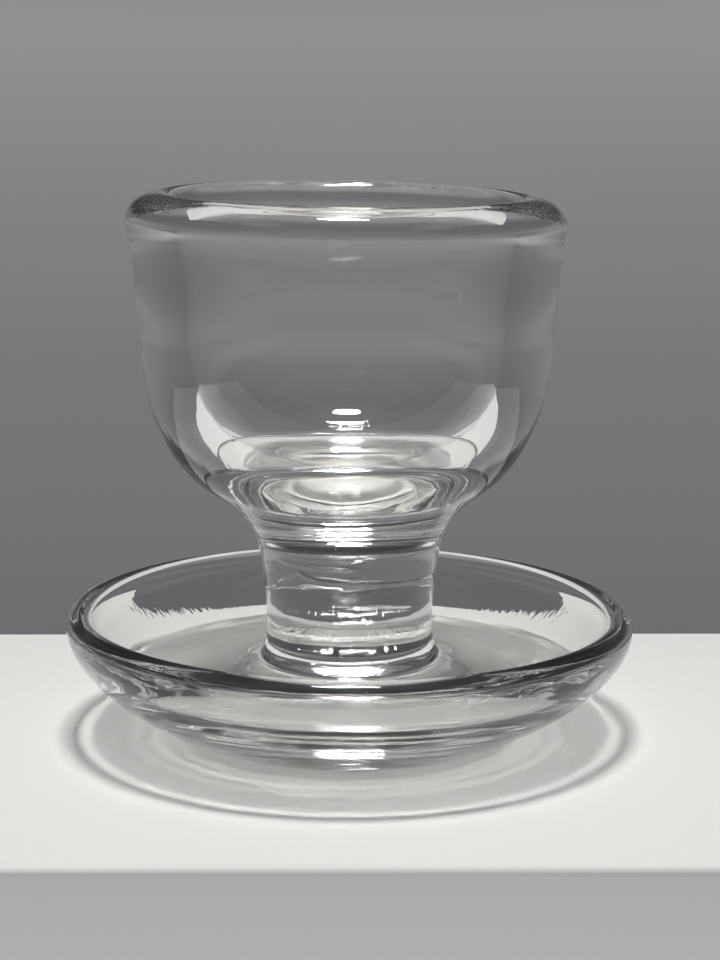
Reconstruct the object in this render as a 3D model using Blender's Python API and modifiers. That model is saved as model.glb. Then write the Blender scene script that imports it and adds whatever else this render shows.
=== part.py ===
"""Heavy clear glass cup on a short waisted stem, fused to a wide saucer foot.

Three gathers of hot glass make the real thing: the saucer, the stem and the bowl. Each is a turned
solid here, and they stack on one axis, joined face to face where the glass was fused.
"""

import math

import bpy
from mathutils import Vector
from mathutils.geometry import interpolate_bezier

# Sizes are in metres. A sweep, drop, lift or pull is the length of a curve's handle, and a lean is how
# far a curve moves sideways for each unit that it rises or falls.

# Joints and facets
FUSE_GAP = 0.0003  # between two faces of glass that are fused together
TURN_STEPS = 64  # facets round the axis
CURVE_POINTS = 6  # points along each curve
LIP_POINTS = 4  # points along each half of a rounded lip
HOLLOW_POINTS = 10  # points along the rounded bottom of the cup

# Saucer foot, with heights from the table
BASE_RADIUS = 0.0225  # flat face that the glass stands on
SAUCER_RADIUS = 0.045
SAUCER_HEIGHT = 0.020
SAUCER_WALL = 0.0038  # wall just under the lip
LIP_CREST_INSET = 0.0024  # from the outer edge to the top of the lip
LIP_OUTER_ROUND = 0.0021
LIP_INNER_ROUND = 0.0020
UNDERSIDE_SWEEP = 0.0082
UNDERSIDE_LIFT = 0.0019
UNDERSIDE_DROP = 0.0077
TROUGH_RADIUS = 0.0234  # lowest circle of the dished top
TROUGH_FLOOR = 0.0102
TROUGH_SWEEP = 0.0113
WALL_DROP = 0.0068
WALL_LEAN = 0.75
BOSS_HEIGHT = 0.01505  # top of the swelling that the stem is fused to
FLARE_SWEEP = 0.0082
FLARE_DROP = 0.0050
FLARE_LEAN = 0.40

# Stem
STEM_LENGTH = 0.0153
STEM_FOOT_RADIUS = 0.0133
STEM_TOP_RADIUS = 0.0145
STEM_FOOT_PULL = 0.0044
STEM_FOOT_LEAN = 0.08
STEM_TOP_PULL = 0.0053
STEM_TOP_LEAN = 0.17

# Bowl, with heights from its joint with the stem
BOWL_HEIGHT = 0.05455
HOLLOW_RADIUS = 0.0246  # inside of the cup
HOLLOW_FLOOR = 0.0119  # solid glass under the hollow
HOLLOW_SHOULDER = 0.0352  # where the upright inner wall starts to round in
HOLLOW_FULLNESS = 2.7  # 2 is an ellipse, more is squarer
MOUTH_FLARE = 0.0016  # how much wider the hollow is at the mouth
MOUTH_ROUND = 0.0032
BELLY_RADIUS = 0.0217  # where the neck's hollow curve turns into the belly
BELLY_HEIGHT = 0.0086
BELLY_SLOPE = 0.625
BELLY_SWEEP_IN = 0.0062
BELLY_SWEEP_OUT = 0.0068
CUP_WALL = 0.0076  # wall at the girth
GIRTH_HEIGHT = 0.0312
GIRTH_LEAN = 0.035
GIRTH_DROP = 0.0084
GIRTH_LIFT = 0.0045
RIM_WALL = 0.0078  # thick wall under the rim
RIM_ROUND = 0.0037
RIM_CREST_INSET = 0.0058

CLEAR_GLASS = (0.93, 0.95, 0.94, 1.0)
GLASS_IOR = 1.5
POLISHED = 0.02  # roughness of fire-polished glass


def curve(start, leaving, arriving, end):
    """Points of one curve, without its end, where the next stretch begins."""
    knots = [Vector(point) for point in (start, leaving, arriving, end)]
    return interpolate_bezier(*knots, CURVE_POINTS + 1)[:-1]


def rounded_lip(inner, crest, outer):
    """Two quarter ellipses, from the inner wall over the crest to the outer wall."""
    path = []
    for wall, first_angle in ((inner, math.pi), (outer, math.pi / 2)):
        across = abs(wall[0] - crest[0])
        up = crest[1] - wall[1]
        for step in range(LIP_POINTS):
            angle = first_angle - math.pi / 2 * step / LIP_POINTS
            path.append((crest[0] + across * math.cos(angle), wall[1] + up * math.sin(angle)))
    return path


def saucer_outline():
    """From the middle of the boss, over the dished top and the lip, to the middle of the base."""
    boss = (STEM_FOOT_RADIUS, BOSS_HEIGHT)
    trough = (TROUGH_RADIUS, TROUGH_FLOOR)
    lip_inner = (SAUCER_RADIUS - SAUCER_WALL, SAUCER_HEIGHT - LIP_INNER_ROUND)
    lip_crest = (SAUCER_RADIUS - LIP_CREST_INSET, SAUCER_HEIGHT)
    lip_outer = (SAUCER_RADIUS, SAUCER_HEIGHT - LIP_OUTER_ROUND)
    base = (BASE_RADIUS, 0)
    flare = curve(
        boss,
        (boss[0] + FLARE_DROP * FLARE_LEAN, boss[1] - FLARE_DROP),
        (trough[0] - FLARE_SWEEP, trough[1]),
        trough,
    )
    wall = curve(
        trough,
        (trough[0] + TROUGH_SWEEP, trough[1]),
        (lip_inner[0] - WALL_DROP * WALL_LEAN, lip_inner[1] - WALL_DROP),
        lip_inner,
    )
    underside = curve(
        lip_outer,
        (lip_outer[0], lip_outer[1] - UNDERSIDE_DROP),
        (base[0] + UNDERSIDE_SWEEP, UNDERSIDE_LIFT),
        base,
    )
    lip = rounded_lip(lip_inner, lip_crest, lip_outer)
    return [(0, BOSS_HEIGHT), *flare, *wall, *lip, *underside, base, (0, 0)]


def stem_outline():
    """From the middle of the stem's top, down its waisted side, to the middle of its foot."""
    top = (STEM_TOP_RADIUS, STEM_LENGTH)
    foot = (STEM_FOOT_RADIUS, 0)
    waist = curve(
        top,
        (top[0] - STEM_TOP_PULL * STEM_TOP_LEAN, top[1] - STEM_TOP_PULL),
        (foot[0] - STEM_FOOT_PULL * STEM_FOOT_LEAN, STEM_FOOT_PULL),
        foot,
    )
    return [(0, STEM_LENGTH), *waist, foot, (0, 0)]


def hollow_outline():
    """The rounded bottom of the cup, a superellipse from its floor out to the upright wall."""
    depth = HOLLOW_SHOULDER - HOLLOW_FLOOR
    power = 2 / HOLLOW_FULLNESS
    path = [(0, HOLLOW_FLOOR)]
    for step in range(1, HOLLOW_POINTS):
        angle = math.pi / 2 * step / HOLLOW_POINTS
        radius = HOLLOW_RADIUS * math.sin(angle) ** power
        path.append((radius, HOLLOW_SHOULDER - depth * math.cos(angle) ** power))
    return path


def bowl_outline():
    """From the floor of the cup, up the inner wall, over the rim and down the outside to the joint."""
    mouth_radius = HOLLOW_RADIUS + MOUTH_FLARE
    rim_radius = mouth_radius + RIM_WALL
    shoulder = (HOLLOW_RADIUS, HOLLOW_SHOULDER)
    mouth = (mouth_radius, BOWL_HEIGHT - MOUTH_ROUND)
    crest = (rim_radius - RIM_CREST_INSET, BOWL_HEIGHT)
    rim = (rim_radius, BOWL_HEIGHT - RIM_ROUND)
    girth = (HOLLOW_RADIUS + CUP_WALL, GIRTH_HEIGHT)
    belly = (BELLY_RADIUS, BELLY_HEIGHT)
    neck = (STEM_TOP_RADIUS, 0)
    third = (mouth[1] - shoulder[1]) / 3
    inner_wall = curve(
        shoulder,
        (shoulder[0], shoulder[1] + third),
        (mouth[0], mouth[1] - third),
        mouth,
    )
    side = curve(rim, rim, (girth[0] + GIRTH_LIFT * GIRTH_LEAN, girth[1] + GIRTH_LIFT), girth)
    round_belly = curve(
        girth,
        (girth[0] - GIRTH_DROP * GIRTH_LEAN, girth[1] - GIRTH_DROP),
        (belly[0] + BELLY_SWEEP_OUT, belly[1] + BELLY_SWEEP_OUT * BELLY_SLOPE),
        belly,
    )
    hollow_neck = curve(
        belly,
        (belly[0] - BELLY_SWEEP_IN, belly[1] - BELLY_SWEEP_IN * BELLY_SLOPE),
        neck,
        neck,
    )
    lip = rounded_lip(mouth, crest, rim)
    outside = [*side, *round_belly, *hollow_neck]
    return [*hollow_outline(), *inner_wall, *lip, *outside, neck, (0, 0)]


def glass(name):
    """Clear, colourless, fire-polished glass."""
    material = bpy.data.materials.new(name)
    material.use_nodes = True
    shader = material.node_tree.nodes["Principled BSDF"]
    shader.inputs["Base Color"].default_value = CLEAR_GLASS
    shader.inputs["Metallic"].default_value = 0.0
    shader.inputs["Roughness"].default_value = POLISHED
    shader.inputs["IOR"].default_value = GLASS_IOR
    shader.inputs["Transmission Weight"].default_value = 1.0
    return material


def turned(name, outline, height, parent, collection):
    """One solid of revolution about the upright axis, standing at its height on that axis."""
    mesh = bpy.data.meshes.new(name)
    points = [(radius, 0, rise) for radius, rise in outline]
    mesh.from_pydata(points, [(i, i + 1) for i in range(len(points) - 1)], [])
    mesh.materials.append(glass(name + "_glass"))
    piece = bpy.data.objects.new(name, mesh)
    collection.objects.link(piece)
    piece.parent = parent
    piece.location = (0, 0, height)
    screw = piece.modifiers.new("turn", "SCREW")
    screw.axis = "Z"
    screw.angle = 2 * math.pi
    screw.steps = TURN_STEPS
    screw.render_steps = TURN_STEPS
    screw.use_merge_vertices = True
    screw.merge_threshold = 0.00001
    screw.use_smooth_shade = True
    return piece


def main():
    for leftover in list(bpy.data.objects):
        bpy.data.objects.remove(leftover)
    cup = bpy.data.collections.new("footed_glass_cup")
    bpy.context.scene.collection.children.link(cup)
    axis = bpy.data.objects.new("cup_axis", None)
    cup.objects.link(axis)

    stem_height = BOSS_HEIGHT + FUSE_GAP
    bowl_height = stem_height + STEM_LENGTH + FUSE_GAP
    turned("saucer_foot", saucer_outline(), 0, axis, cup)
    turned("stem", stem_outline(), stem_height, axis, cup)
    turned("cup_bowl", bowl_outline(), bowl_height, axis, cup)


main()
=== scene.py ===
import math

import bpy
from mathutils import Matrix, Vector
from mathutils.geometry import interpolate_bezier


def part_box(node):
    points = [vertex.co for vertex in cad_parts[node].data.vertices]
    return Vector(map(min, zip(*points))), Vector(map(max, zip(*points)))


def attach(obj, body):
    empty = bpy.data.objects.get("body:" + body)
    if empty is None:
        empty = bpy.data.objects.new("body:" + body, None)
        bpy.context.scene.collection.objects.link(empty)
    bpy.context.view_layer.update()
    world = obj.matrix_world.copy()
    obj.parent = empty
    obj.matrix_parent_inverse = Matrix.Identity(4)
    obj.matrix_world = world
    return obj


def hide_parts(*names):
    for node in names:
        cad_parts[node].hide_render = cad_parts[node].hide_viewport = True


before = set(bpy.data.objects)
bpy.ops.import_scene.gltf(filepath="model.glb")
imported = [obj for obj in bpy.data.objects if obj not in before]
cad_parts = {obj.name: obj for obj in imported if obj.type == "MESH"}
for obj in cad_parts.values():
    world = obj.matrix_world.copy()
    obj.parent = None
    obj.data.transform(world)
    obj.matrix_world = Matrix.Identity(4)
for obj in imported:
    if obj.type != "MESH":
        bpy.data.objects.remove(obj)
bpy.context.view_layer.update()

# Heavy clear glass cup on a waisted stem and a saucer foot. Sizes below are in millimetres.
mm = 0.001
scene = bpy.context.scene
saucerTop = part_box("saucer_foot")[1][2] / mm
stemFoot, stemTop = (corner[2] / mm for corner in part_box("stem"))
bowlFoot, bowlTop = (corner[2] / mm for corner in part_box("cup_bowl"))
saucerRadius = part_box("saucer_foot")[1][0] / mm
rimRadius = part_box("cup_bowl")[1][0] / mm
print("frame loaded, nodes:", sorted(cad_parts))


# the glass was fused here, so the pieces meet halfway across the gap that the solids keep
gap = 0.3
fuse = {
    "lower": stemFoot - gap / 2, "upper": (stemTop + bowlFoot) / 2, "slit": 0.02,
    "rings": (0, 5, 10), "flatness": 0.99, "near": 0.05,
}


def bend(start, leave, arrive, end, count):
    knots = [Vector(point) for point in (start, leave, arrive, end)]
    return [tuple(point) for point in interpolate_bezier(*knots, count + 1)[:-1]]


def roundedLip(inner, crest, outer, count):
    path = []
    for wall, firstAngle in ((inner, math.pi), (outer, math.pi / 2)):
        across = abs(wall[0] - crest[0])
        up = crest[1] - wall[1]
        for step in range(count):
            angle = firstAngle - math.pi / 2 * step / count
            path.append((crest[0] + across * math.cos(angle), wall[1] + up * math.sin(angle)))
    return path


# the flat face of a joint, from the axis outward
def jointFace(level):
    return [(radius, level) for radius in fuse["rings"]]


# a profile drawn point by point with extrude, then spun round the upright axis
weld = 0.002


def spinGlass(name, outline, steps):
    bpy.ops.object.select_all(action="DESELECT")
    firstRadius, firstHeight = outline[0]
    bpy.ops.mesh.primitive_plane_add(size=mm, location=(0, 0, 0))
    piece = bpy.context.object
    piece.name = piece.data.name = name
    bpy.ops.object.mode_set(mode="EDIT")
    bpy.ops.mesh.select_all(action="SELECT")
    bpy.ops.mesh.merge(type="CENTER")
    bpy.ops.transform.translate(value=(firstRadius * mm, 0, firstHeight * mm))
    for here, there in zip(outline, outline[1:]):
        move = ((there[0] - here[0]) * mm, 0, (there[1] - here[1]) * mm)
        bpy.ops.mesh.extrude_region_move(TRANSFORM_OT_translate={"value": move})
    bpy.ops.mesh.select_all(action="SELECT")
    bpy.ops.mesh.spin(steps=steps, angle=2 * math.pi, center=(0, 0, 0), axis=(0, 0, 1))
    bpy.ops.mesh.select_all(action="SELECT")
    bpy.ops.mesh.remove_doubles(threshold=weld * mm)
    bpy.ops.mesh.normals_make_consistent(inside=False)
    bpy.ops.object.mode_set(mode="OBJECT")
    return piece


# moves every point by a rule, as by hand with a large soft brush
def reshape(piece, rule):
    for vertex in piece.data.vertices:
        x, y, z = vertex.co / mm
        vertex.co = Vector(rule(x, y, z)) * mm
    piece.data.update()


def ramp(value, low, high):
    share = min(max((value - low) / (high - low), 0), 1)
    return share * share * (3 - 2 * share)


# raised cords and dents: strokes drawn on the outside by angle from the front and by height; a stroke
# reaches some widths away, and fades over a share of its length at both ends
brush = {"reach": 2.5, "fade": 0.3}


def drawMarks(piece, marks, inside):
    moves = {}
    for mark in marks:
        stroke = [Vector(point) for point in mark["points"]]
        reach = mark["width"] * brush["reach"]
        lowest = min(point.y for point in stroke) - reach
        highest = max(point.y for point in stroke) + reach
        for vertex in piece.data.vertices:
            x, y, z = vertex.co / mm
            radius = math.hypot(x, y)
            if not lowest < z < highest or radius < inside:
                continue
            arc = math.radians(1) * radius
            here = Vector((math.degrees(math.atan2(x, -y)) * arc, z))
            closest = reach
            along = 0
            for number, (first, second) in enumerate(zip(stroke, stroke[1:])):
                start, end = Vector((first.x * arc, first.y)), Vector((second.x * arc, second.y))
                run = end - start
                share = min(max((here - start).dot(run) / run.length_squared, 0), 1)
                away = (here - start - run * share).length
                if away < closest:
                    closest, along = away, (number + share) / (len(stroke) - 1)
            if closest < reach:
                fade = ramp(min(along, 1 - along), 0, brush["fade"])
                lift = mark["height"] * fade * math.exp(-((closest / mark["width"]) ** 2))
                outward = Vector((x, y, 0)) / radius
                moves[vertex.index] = moves.get(vertex.index, Vector()) + outward * lift
    for index, move in moves.items():
        piece.data.vertices[index].co += move * mm
    piece.data.update()


# a new node with its settings, each input either linked or set to a value
def addNode(tree, kind, inputs, **settings):
    node = tree.nodes.new("ShaderNode" + kind)
    for setting, value in settings.items():
        setattr(node, setting, value)
    for entry, value in inputs.items():
        if isinstance(value, bpy.types.NodeSocket):
            tree.links.new(value, node.inputs[entry])
        else:
            node.inputs[entry].default_value = value
    return node


# fine upright flutes that the shaping tool left inside the saucer's wall
def fluteWall(tree, place, bump, flutes):
    split = addNode(tree, "SeparateXYZ", {"Vector": place})
    turn = addNode(tree, "Math", {0: split.outputs["Y"], 1: split.outputs["X"]}, operation="ARCTAN2")
    spread = addNode(tree, "CombineXYZ", {"X": turn.outputs["Value"], "Y": split.outputs["Z"]})
    stretch = (flutes["round"], flutes["along"], 0)
    scale = addNode(tree, "VectorMath", {0: spread.outputs["Vector"], 1: stretch}, operation="MULTIPLY")
    noise = addNode(tree, "TexNoise", {"Vector": scale.outputs["Vector"], "Scale": 1, "Detail": 1})
    flat = addNode(tree, "VectorMath", {0: place, 1: (1, 1, 0)}, operation="MULTIPLY")
    away = addNode(tree, "VectorMath", {0: flat.outputs["Vector"]}, operation="LENGTH")
    limits = {"radius": away.outputs["Value"], "height": split.outputs["Z"], "back": split.outputs["Y"]}
    height = noise.outputs["Fac"]
    for limit, source in limits.items():
        low, high = flutes[limit]
        ends = {"Value": source, "From Min": low * mm, "From Max": high * mm}
        reach = addNode(tree, "MapRange", ends, interpolation_type="SMOOTHSTEP")
        share = addNode(tree, "Math", {0: height, 1: reach.outputs["Result"]}, operation="MULTIPLY")
        height = share.outputs["Value"]
    second = addNode(tree, "Bump", {"Height": height, "Strength": 1, "Distance": flutes["depth"] * mm})
    tree.links.new(second.outputs["Normal"], bump.inputs["Normal"])


# patchy scuffs low down, where the glass has slid on tables
def scuffBase(tree, place, shader, scuffs):
    split = addNode(tree, "SeparateXYZ", {"Vector": place})
    noise = addNode(tree, "TexNoise", {"Vector": place, "Scale": scuffs["scale"], "Detail": scuffs["detail"]})
    thin, full = scuffs["spread"]
    spread = {"Value": noise.outputs["Fac"], "From Min": thin, "From Max": full, "To Max": scuffs["roughness"]}
    patchy = addNode(tree, "MapRange", spread)
    fall = {"Value": split.outputs["Z"], "From Min": scuffs["height"] * mm, "From Max": 0}
    low = addNode(tree, "MapRange", fall)
    both = {0: patchy.outputs["Result"], 1: low.outputs["Result"]}
    worn = addNode(tree, "Math", both, operation="MULTIPLY")
    tree.links.new(worn.outputs["Value"], shader.inputs["Roughness"])


# clear glass, with ripples left by the tools
def clearGlass(name, look):
    glass = bpy.data.materials.new(name)
    glass.use_nodes = True
    tree = glass.node_tree
    shader = tree.nodes["Principled BSDF"]
    shader.inputs["Base Color"].default_value = (1, 1, 1, 1)
    shader.inputs["Roughness"].default_value = 0
    shader.inputs["IOR"].default_value = 1.5
    shader.inputs["Transmission Weight"].default_value = 1
    place = addNode(tree, "TexCoord", {}).outputs["Object"]
    stretch = addNode(tree, "Mapping", {"Vector": place, "Scale": look["stretch"]})
    grain = {"Vector": stretch.outputs["Vector"], "Scale": look["scale"], "Detail": look["detail"]}
    noise = addNode(tree, "TexNoise", grain)
    rise = {"Height": noise.outputs["Fac"], "Strength": look["strength"], "Distance": look["height"] * mm}
    bump = addNode(tree, "Bump", rise)
    tree.links.new(bump.outputs["Normal"], shader.inputs["Normal"])
    if "flutes" in look:
        fluteWall(tree, place, bump, look["flutes"])
    if "scuffs" in look:
        scuffBase(tree, place, shader, look["scuffs"])
    # thick glass takes some light, more where the way from face to face is longer; the shader lets the
    # root of its colour through, so the loss counts twice
    way = addNode(tree, "LightPath", {})
    side = addNode(tree, "NewGeometry", {})
    within = {0: way.outputs["Ray Length"], 1: side.outputs["Backfacing"]}
    inside = addNode(tree, "Math", within, operation="MULTIPLY")
    clear = addNode(tree, "CombineColor", {})
    blueLoss = look["depthLoss"] + look["warmth"]
    for channel, loss in {"Red": look["depthLoss"], "Green": look["depthLoss"], "Blue": blueLoss}.items():
        taken = addNode(tree, "Math", {0: inside.outputs["Value"], 1: -2 * loss}, operation="MULTIPLY")
        left = addNode(tree, "Math", {0: taken.outputs["Value"]}, operation="EXPONENT")
        tree.links.new(left.outputs["Value"], clear.inputs[channel])
    tree.links.new(clear.outputs["Color"], shader.inputs["Base Color"])
    return glass


# the faces inside a fused joint, which can't be seen in the real glass
def fusedFace(name):
    inside = bpy.data.materials.new(name)
    inside.use_nodes = True
    tree = inside.node_tree
    tree.nodes.clear()
    clear = addNode(tree, "BsdfTransparent", {})
    addNode(tree, "OutputMaterial", {"Surface": clear.outputs["BSDF"]})
    return inside


creaseAngle = 50


def finishGlass(piece, node, glass, joints):
    piece.data.materials.append(glass)
    piece.data.materials.append(fusedFace(node + "_fused_face"))
    for face in piece.data.polygons:
        level = face.center.z / mm
        atJoint = any(abs(level - joint) < fuse["near"] for joint in joints)
        if abs(face.normal.z) > fuse["flatness"] and atJoint:
            face.material_index = 1
    bpy.ops.object.select_all(action="DESELECT")
    piece.select_set(True)
    bpy.context.view_layer.objects.active = piece
    bpy.ops.object.shade_smooth_by_angle(angle=math.radians(creaseAngle))
    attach(piece, "root")
    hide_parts(node)
    print(node, "shaped:", len(piece.data.polygons), "faces")


# saucer foot: flat base, round underside, thick rolled lip and a dished top that rises to the stem
saucer = {
    "baseRadius": 22.5, "underSweep": 8.2, "underLift": 1.9, "underDrop": 7.7,
    "wall": 3.8, "crestInset": 2.4, "lipOuter": 2.1, "lipInner": 2.0,
    "troughRadius": 23.4, "troughFloor": 10.2, "troughSweep": 11.3, "wallDrop": 6.8, "wallLean": 0.75,
    "bossRadius": 13.3, "flareSweep": 7.2, "flareDrop": 2.9, "flareLean": 0.32,
    "steps": 320, "flarePoints": 24, "wallPoints": 36, "lipPoints": 12, "underPoints": 40,
    "baseRings": (15, 8, 0),
    # the lip's tilt in degrees, and where it grows by height and by radius
    "tilt": 0.6, "tiltFrom": 2, "tiltRadii": (18, 36),
    # turning marks in the trough: where they start and end, and waves of share, count and phase in their paths
    "turnMarks": 0.04, "markSpacing": 2.6, "markDepth": 0.5, "markStart": (20, 23), "markEnd": (33, 37),
    "wander": [(0.6, 1, 1), (0.3, 3, 0)],
    "glass": {
        "stretch": (1, 1, 1), "scale": 180, "detail": 2, "strength": 0.04, "height": 0.5,
        "depthLoss": 2, "warmth": 0.9,
        "flutes": {
            "round": 45, "along": 500, "radius": (41.5, 35), "height": (11, 13), "back": (6, 16),
            "depth": 0.12,
        },
        "scuffs": {"scale": 700, "detail": 3, "spread": (0.45, 0.7), "height": 0.4, "roughness": 0.2},
    },
}


def saucerOutline():
    s = saucer
    boss = (s["bossRadius"], fuse["lower"] - fuse["slit"])
    trough = (s["troughRadius"], s["troughFloor"])
    lipIn = (saucerRadius - s["wall"], saucerTop - s["lipInner"])
    crest = (saucerRadius - s["crestInset"], saucerTop)
    lipOut = (saucerRadius, saucerTop - s["lipOuter"])
    base = (s["baseRadius"], 0)
    path = jointFace(boss[1])
    flareStart = (boss[0] + s["flareDrop"] * s["flareLean"], boss[1] - s["flareDrop"])
    flareEnd = (trough[0] - s["flareSweep"], trough[1])
    path += bend(boss, flareStart, flareEnd, trough, s["flarePoints"])
    wallStart = (trough[0] + s["troughSweep"], trough[1])
    wallEnd = (lipIn[0] - s["wallDrop"] * s["wallLean"], lipIn[1] - s["wallDrop"])
    path += bend(trough, wallStart, wallEnd, lipIn, s["wallPoints"])
    path += roundedLip(lipIn, crest, lipOut, s["lipPoints"])
    underStart = (lipOut[0], lipOut[1] - s["underDrop"])
    underEnd = (base[0] + s["underSweep"], s["underLift"])
    path += bend(lipOut, underStart, underEnd, base, s["underPoints"])
    return path + [base] + [(radius, 0) for radius in s["baseRings"]]


saucerGlass = spinGlass("saucer_foot_glass", saucerOutline(), saucer["steps"])


# stem: a short waisted post between the two other gathers, with a fold and creases on its side
stem = {
    "footRadius": 13.3, "footPull": 4.4, "footLean": 0.08,
    "topRadius": 14.5, "topPull": 5.3, "topLean": 0.17,
    "steps": 512, "sidePoints": 80,
    "marksOutside": 12,
    "marks": [
        {"width": 0.3, "height": 0.15, "points": [
            (-66, 23.9), (-50, 26.1), (-33.5, 28.4), (-29.4, 27.7), (-20, 27.2), (1, 26.9), (22.5, 26.5),
            (43, 26.3), (68, 25.8), (74.5, 24.9), (75, 23.2)]},
        {"width": 0.4, "height": -0.09, "points": [
            (-12, 25.3), (4, 25.9), (24, 26.2), (42, 26.1), (60, 25.7)]},
        {"width": 0.4, "height": -0.09, "points": [
            (-10, 23.1), (8, 23.3), (24, 23.2), (40, 22.7), (56, 22.3)]},
        {"width": 0.25, "height": 0.1, "points": [
            (-52, 29.7), (-38, 29.4), (-22, 29.3), (-4, 29.2), (12, 29.2)]},
    ],
    "glass": {
        "stretch": (0.3, 0.3, 1.6), "scale": 260, "detail": 2, "strength": 0.12, "height": 0.5,
        "depthLoss": 18, "warmth": 0,
    },
}


def stemOutline():
    s = stem
    top = (s["topRadius"], fuse["upper"] - fuse["slit"])
    foot = (s["footRadius"], fuse["lower"] + fuse["slit"])
    leave = (top[0] - s["topPull"] * s["topLean"], top[1] - s["topPull"])
    arrive = (foot[0] - s["footPull"] * s["footLean"], foot[1] + s["footPull"])
    path = jointFace(top[1]) + bend(top, leave, arrive, foot, s["sidePoints"])
    return path + [foot] + jointFace(foot[1])[::-1]


stemGlass = spinGlass("stem_glass", stemOutline(), stem["steps"])


# bowl: thick wall, rolled rim, and a hollow that rounds in to a nearly flat floor
bowl = {
    "neckRadius": 14.5, "bellyRadius": 21.7, "bellyHeight": 8.6, "bellySlope": 0.625,
    "bellySweepIn": 6.2, "bellySweepOut": 6.8,
    "girthRadius": 32.2, "girthHeight": 31.2, "girthLean": 0.035, "girthDrop": 8.4, "girthLift": 4.5,
    "rimRound": 4.1, "crestInset": 5.3, "mouthRadius": 26.0, "mouthRound": 4.8,
    "hollowRadius": 24.6, "hollowShoulder": 35.2, "hollowFloor": 11.9, "hollowFullness": 2.7,
    "steps": 320, "hollowPoints": 48, "innerPoints": 14, "lipPoints": 18, "sidePoints": 18,
    "bellyPoints": 32, "neckPoints": 18,
    # the rim's tilt in degrees, the cup's shift off the axis, and the height of the foot that stays true
    "tilt": 1.0, "lean": 0.45, "trueFoot": 15,
    # waves of share, count and phase round the rim, a dent in its near side and a swell in its far side
    "wave": 0.05, "waves": [(1, 2, 0.6), (0.6, 5, 2), (0.4, 9, 0)], "rimDepth": (9, 2),
    "lumps": [
        {"turn": 9, "radius": 31.0, "high": -0.15, "reach": 1.3},
        {"turn": 172, "radius": 28.6, "high": 0.2, "reach": 4.5},
    ],
    "glass": {
        "stretch": (1, 1, 0.3), "scale": 220, "detail": 2, "strength": 0.06, "height": 0.5,
        "depthLoss": 1, "warmth": 0,
    },
}


def bowlOutline():
    b = bowl
    foot = fuse["upper"] + fuse["slit"]
    neck = (b["neckRadius"], foot)
    belly = (b["bellyRadius"], foot + b["bellyHeight"])
    girth = (b["girthRadius"], foot + b["girthHeight"])
    rim = (rimRadius, bowlTop - b["rimRound"])
    crest = (rimRadius - b["crestInset"], bowlTop)
    mouth = (b["mouthRadius"], bowlTop - b["mouthRound"])
    shoulder = (b["hollowRadius"], foot + b["hollowShoulder"])
    depth = b["hollowShoulder"] - b["hollowFloor"]
    power = 2 / b["hollowFullness"]
    path = [(0, shoulder[1] - depth)]
    for step in range(1, b["hollowPoints"]):
        angle = math.pi / 2 * step / b["hollowPoints"]
        radius = shoulder[0] * math.sin(angle) ** power
        path.append((radius, shoulder[1] - depth * math.cos(angle) ** power))
    third = (mouth[1] - shoulder[1]) / 3
    wallStart = (shoulder[0], shoulder[1] + third)
    wallEnd = (mouth[0], mouth[1] - third)
    path += bend(shoulder, wallStart, wallEnd, mouth, b["innerPoints"])
    path += roundedLip(mouth, crest, rim, b["lipPoints"])
    girthUp = (girth[0] + b["girthLift"] * b["girthLean"], girth[1] + b["girthLift"])
    path += bend(rim, rim, girthUp, girth, b["sidePoints"])
    girthDown = (girth[0] - b["girthDrop"] * b["girthLean"], girth[1] - b["girthDrop"])
    bellyOut = (belly[0] + b["bellySweepOut"], belly[1] + b["bellySweepOut"] * b["bellySlope"])
    path += bend(girth, girthDown, bellyOut, belly, b["bellyPoints"])
    bellyIn = (belly[0] - b["bellySweepIn"], belly[1] - b["bellySweepIn"] * b["bellySlope"])
    path += bend(belly, bellyIn, neck, neck, b["neckPoints"])
    return path + [neck] + jointFace(foot)[::-1]


bowlGlass = spinGlass("cup_bowl_glass", bowlOutline(), bowl["steps"])


# hand-worked glass is never quite true: the rims tilt, and the bowl sits a little off the axis
def offTrueBowl(x, y, z):
    raised = ramp(z, bowlFoot + bowl["trueFoot"], bowlTop)
    aside = ramp(z, bowlFoot, bowlFoot + bowl["trueFoot"])
    lift = -math.tan(math.radians(bowl["tilt"])) * x * raised
    turn = math.atan2(x, -y)
    below, above = bowl["rimDepth"]
    atRim = ramp(z, bowlTop - below, bowlTop - above)
    swing = sum(share * math.sin(count * turn + phase) for share, count, phase in bowl["waves"])
    lift += bowl["wave"] * atRim * swing
    for lump in bowl["lumps"]:
        angle = math.radians(lump["turn"])
        away = math.hypot(x - lump["radius"] * math.sin(angle), y + lump["radius"] * math.cos(angle))
        lift += lump["high"] * atRim * math.exp(-((away / lump["reach"]) ** 2))
    return x - bowl["lean"] * aside, y, z + lift


def offTrueSaucer(x, y, z):
    radius = math.hypot(x, y)
    raised = ramp(z, saucer["tiltFrom"], saucerTop) * ramp(radius, *saucer["tiltRadii"])
    lift = -math.tan(math.radians(saucer["tilt"])) * x * raised
    if z > saucer["troughFloor"] - saucer["markDepth"]:
        turn = math.atan2(y, x)
        inTrough = ramp(radius, *saucer["markStart"]) * (1 - ramp(radius, *saucer["markEnd"]))
        swing = (share * math.sin(count * turn + phase) for share, count, phase in saucer["wander"])
        wander = sum(swing, radius)
        lift += saucer["turnMarks"] * inTrough * math.sin(2 * math.pi * wander / saucer["markSpacing"])
    return x, y, z + lift


drawMarks(stemGlass, stem["marks"], stem["marksOutside"])
reshape(bowlGlass, offTrueBowl)
reshape(saucerGlass, offTrueSaucer)

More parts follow.
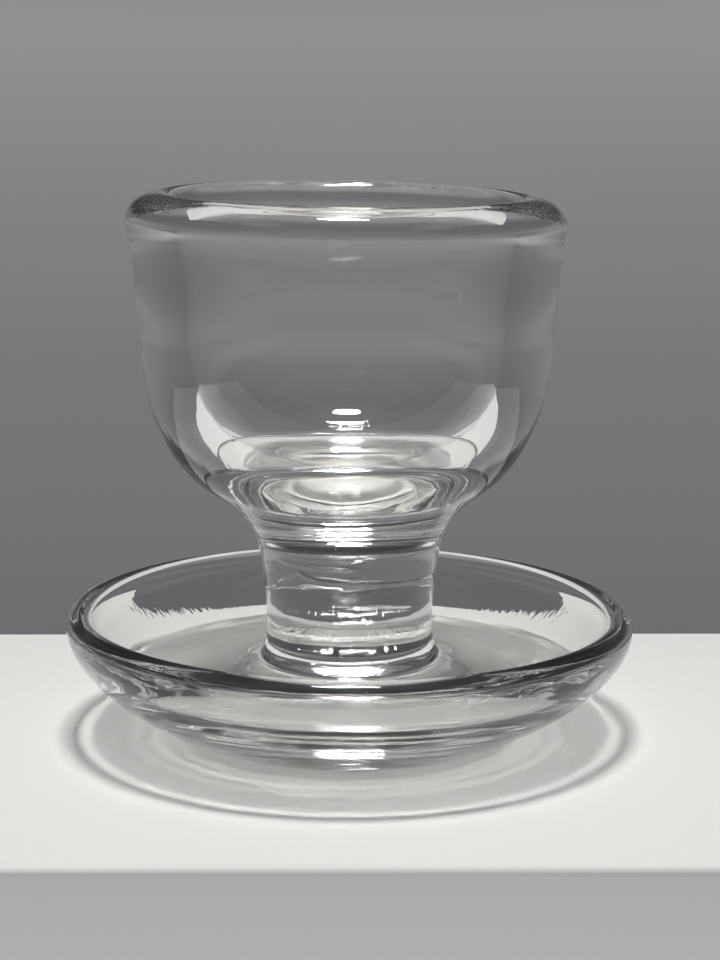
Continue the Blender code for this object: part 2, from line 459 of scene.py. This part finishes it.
lower, upper = fuse["lower"], fuse["upper"]
finishGlass(bowlGlass, "cup_bowl", clearGlass("clear_bowl", bowl["glass"]), [upper])
finishGlass(stemGlass, "stem", clearGlass("clear_stem", stem["glass"]), [upper, lower])
finishGlass(saucerGlass, "saucer_foot", clearGlass("clear_saucer", saucer["glass"]), [lower])


# pale slab to stand on, a hair below the glass so that the base shows no false contact
floor = {
    "halfWidth": 200, "front": 63, "back": 58, "thick": 40, "slope": 30, "drop": 0.05,
    "edge": 1.5, "edgeSegments": 4, "creaseAngle": 40,
    "colour": (0.8, 0.79, 0.77, 1), "roughness": 0.6, "specular": 0.2,
}


def paleFloor():
    bpy.ops.object.select_all(action="DESELECT")
    bpy.ops.mesh.primitive_cube_add(size=mm)
    slab = bpy.context.object
    slab.name = "pale_floor"
    bpy.ops.object.mode_set(mode="EDIT")
    deep = floor["front"] + floor["back"]
    bpy.ops.transform.resize(value=(floor["halfWidth"] * 2, deep, floor["thick"]))
    middle = (0, (floor["back"] - floor["front"]) / 2 * mm, -(floor["thick"] / 2 + floor["drop"]) * mm)
    bpy.ops.transform.translate(value=middle)
    bpy.ops.mesh.bevel(offset=floor["edge"] * mm, segments=floor["edgeSegments"])
    bpy.ops.mesh.select_all(action="DESELECT")
    bpy.ops.object.mode_set(mode="OBJECT")
    # the front face slopes forward as it goes down
    for vertex in slab.data.vertices:
        vertex.select = vertex.co.y < 0 and vertex.co.z < -floor["thick"] / 2 * mm
    bpy.ops.object.mode_set(mode="EDIT")
    bpy.ops.transform.translate(value=(0, -floor["slope"] * mm, 0))
    bpy.ops.object.mode_set(mode="OBJECT")
    bpy.ops.object.shade_smooth_by_angle(angle=math.radians(floor["creaseAngle"]))
    paint = bpy.data.materials.new("pale_floor_paint")
    paint.use_nodes = True
    shader = paint.node_tree.nodes["Principled BSDF"]
    shader.inputs["Base Color"].default_value = floor["colour"]
    shader.inputs["Roughness"].default_value = floor["roughness"]
    shader.inputs["Specular IOR Level"].default_value = floor["specular"]
    slab.data.materials.append(paint)
    print("floor laid")


paleFloor()


# grey studio, as greys by height in degrees: a backdrop ahead that pales up to the horizon, pale strips
# aside, a plain room behind, and dark flags under a pale ceiling all round
studio = {
    "ahead": [
        (-90, 0.35), (-35, 0.27), (-26, 0.14), (-17, 0.14), (-12, 0.175), (-8, 0.19), (-4, 0.23), (0, 0.28),
        (4, 0.24), (10, 0.05), (20, 0.025), (45, 0.03), (56, 0.08), (70, 0.16), (80, 0.45),
    ],
    "aside": [
        (-90, 0.35), (-35, 0.27), (-26, 0.13), (-2, 0.14), (0, 0.45), (5, 0.45), (9, 0.04), (22, 0.015),
        (45, 0.02), (58, 0.06), (70, 0.12), (80, 0.4),
    ],
    "behind": [
        (-90, 0.35), (-35, 0.27), (-20, 0.2), (0, 0.24), (8, 0.2), (16, 0.04), (50, 0.05), (68, 0.3), (80, 0.5),
    ],
    # where the room behind takes over, by how far a direction points forward
    "turnBack": (-0.1, -0.7),
    "lamp": {"size": (0.32, 0.22), "place": (0.0, -0.04, 1.3), "power": 14.8},
}


def toneRamp(tree, shade, tones):
    node = addNode(tree, "ValToRGB", {"Fac": shade})
    stops = node.color_ramp.elements
    while len(stops) < len(tones):
        stops.new(0.5)
    for stop, (degrees, grey) in zip(stops, tones):
        stop.position = (math.sin(math.radians(degrees)) + 1) / 2
        stop.color = (grey, grey, grey, 1)
    return node.outputs["Color"]


# the colour form of a mix node has its own sockets, reached by number
def mixTones(tree, share, first, second):
    return addNode(tree, "Mix", {"Factor": share, 6: first, 7: second}, data_type="RGBA").outputs[2]


def studioLight():
    world = bpy.data.worlds.new("grey_studio")
    world.use_nodes = True
    tree = world.node_tree
    place = addNode(tree, "TexCoord", {}).outputs["Generated"]
    split = addNode(tree, "SeparateXYZ", {"Vector": place})
    shade = addNode(tree, "MapRange", {"Value": split.outputs["Z"], "From Min": -1}).outputs["Result"]
    flat = addNode(tree, "VectorMath", {0: place, 1: (1, 1, 0)}, operation="MULTIPLY")
    level = addNode(tree, "VectorMath", {0: flat.outputs["Vector"]}, operation="NORMALIZE")
    turned = addNode(tree, "SeparateXYZ", {"Vector": level.outputs["Vector"]})
    across = turned.outputs["X"]
    sideways = addNode(tree, "Math", {0: across, 1: across}, operation="MULTIPLY")
    start, end = studio["turnBack"]
    ends = {"Value": turned.outputs["Y"], "From Min": start, "From Max": end}
    backward = addNode(tree, "MapRange", ends, interpolation_type="SMOOTHSTEP")
    ahead, aside, behind = (toneRamp(tree, shade, studio[part]) for part in ("ahead", "aside", "behind"))
    front = mixTones(tree, sideways.outputs["Value"], ahead, aside)
    whole = mixTones(tree, backward.outputs["Result"], front, behind)
    tree.links.new(whole, tree.nodes["Background"].inputs["Color"])
    scene.world = world
    lamp = studio["lamp"]
    light = bpy.data.lights.new("wide_lamp", "AREA")
    light.shape = "ELLIPSE"
    light.size, light.size_y = lamp["size"]
    light.energy = lamp["power"]
    holder = bpy.data.objects.new("wide_lamp", light)
    holder.location = lamp["place"]
    scene.collection.objects.link(holder)
    print("studio lit")


studioLight()

# the photograph's view, taken as 720 by 960
view = {
    "place": (0, -349.0, 109.7), "down": 11.2257, "turn": -0.273,
    "focalPixels": 2253, "high": 960, "sensor": 36, "nearest": 10,
}
camera = bpy.data.cameras.new("photo_view")
camera.sensor_width = view["sensor"]
camera.lens = view["focalPixels"] / view["high"] * view["sensor"]
camera.clip_start = view["nearest"] * mm
eye = bpy.data.objects.new("photo_view", camera)
eye.location = [part * mm for part in view["place"]]
eye.rotation_euler = (math.radians(90 - view["down"]), 0, math.radians(view["turn"]))
scene.collection.objects.link(eye)
scene.camera = eye
scene.view_settings.view_transform = "Standard"
print("view set")

# light crosses many faces of thick glass
scene.cycles.max_bounces = 64
scene.cycles.transmission_bounces = 64
scene.cycles.glossy_bounces = 64
scene.cycles.transparent_max_bounces = 24
scene.cycles.caustics_refractive = True
scene.cycles.caustics_reflective = True
scene.cycles.blur_glossy = 0.3
scene.cycles.sample_clamp_indirect = 0
scene.cycles.use_guiding = True
scene.cycles.guiding_training_samples = 24

bpy.context.view_layer.update()
